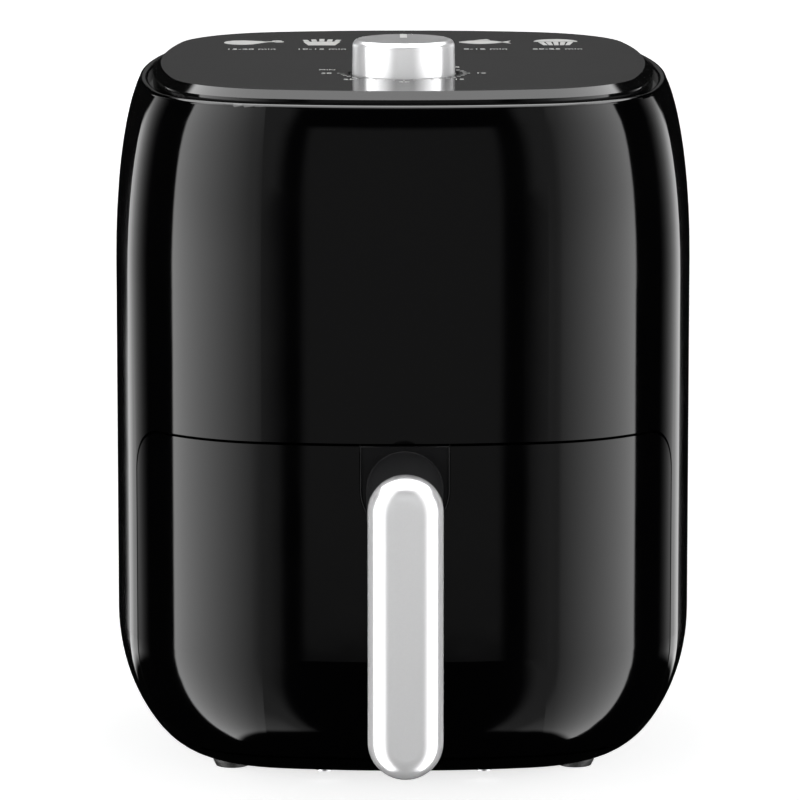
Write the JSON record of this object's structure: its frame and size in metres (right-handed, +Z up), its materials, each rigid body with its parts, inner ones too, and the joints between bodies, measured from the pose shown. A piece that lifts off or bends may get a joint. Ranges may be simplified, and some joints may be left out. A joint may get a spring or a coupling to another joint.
{
  "type": "air fryer",
  "caption": "Compact countertop air fryer with rounded gloss body, timer dial on top, hook-handled pull-out drawer, pan, lift-out crisper plate, heater and fan.",
  "frame": {"origin": "on the floor under the middle of the whole outline", "axes": "+Z up, front of the drawer towards -Y, +X to the viewer's right"},
  "size_m": [0.22, 0.291, 0.277],
  "materials": {
    "gloss_black": "high gloss moulded",
    "panel_black": "satin gloss moulded",
    "black_plastic": "fine matt moulded",
    "rubber_black": "matt",
    "silver_coat": "satin silver coated",
    "white_mark": "plain",
    "bare_steel": "plain sheet",
    "aluminised_sheet": "satin sheet",
    "heater_sheath": "annealed dark",
    "nonstick": "satin non-stick coat",
    "motor_can": "zinc grey",
    "timer_case": "natural moulded",
    "silicone": "matt"
  },
  "bodies": {
    "housing": {"housing_shell": "gloss_black", "control_panel": "panel_black", "base_plate": "black_plastic", "rear_grille": "black_plastic", "cord_cover": "black_plastic", "drawer_frame": "black_plastic", "safety_switch": "black_plastic", "foot_front_left": "rubber_black", "foot_front_right": "rubber_black", "foot_rear_left": "rubber_black", "foot_rear_right": "rubber_black", "cord_gland": "rubber_black", "base_screws": "bare_steel", "guide_rail_left": "bare_steel", "guide_rail_right": "bare_steel", "motor_bracket": "bare_steel", "timer_bell": "bare_steel", "heater_clips": "bare_steel", "chamber_liner": "aluminised_sheet", "heater_hood": "aluminised_sheet", "thermostat": "aluminised_sheet", "heating_element": "heater_sheath", "motor": "motor_can", "timer_unit": "timer_case", "thermal_fuse": "timer_case"},
    "rotor": {"motor_shaft": "bare_steel", "convection_fan": "aluminised_sheet", "cooling_fan": "bare_steel", "fan_nut": "bare_steel"},
    "dial": {"timer_knob": "silver_coat", "knob_hub": "black_plastic", "knob_pointer": "white_mark", "timer_shaft": "bare_steel"},
    "drawer": {"drawer_front": "gloss_black", "drawer_inner_plate": "black_plastic", "pan": "nonstick", "pan_bracket": "bare_steel", "handle_bracket": "black_plastic", "handle_cover": "silver_coat", "handle_screws": "bare_steel"},
    "crisper": {"crisper_plate": "nonstick", "crisper_bumper_front_left": "silicone", "crisper_bumper_front_right": "silicone", "crisper_bumper_rear_left": "silicone", "crisper_bumper_rear_right": "silicone"}
  },
  "joints": [
    {"name": "drawer_slide", "type": "slide", "parent": "housing", "child": "drawer", "axis": [0, -1, 0], "range_m": [0, 0.2]},
    {"name": "crisper_lift", "type": "slide", "parent": "drawer", "child": "crisper", "axis": [0, 0, 1], "range_m": [0, 0.095]},
    {"name": "timer_turn", "type": "hinge", "parent": "housing", "child": "dial", "pos_m": [0, -0.0245, 0.264], "axis": [0, 0, -1], "range_deg": [0, 270]},
    {"name": "fan_spin", "type": "hinge", "parent": "housing", "child": "rotor", "pos_m": [0, 0.0286, 0.17], "axis": [0, 0, 1], "continuous": true}
  ]
}
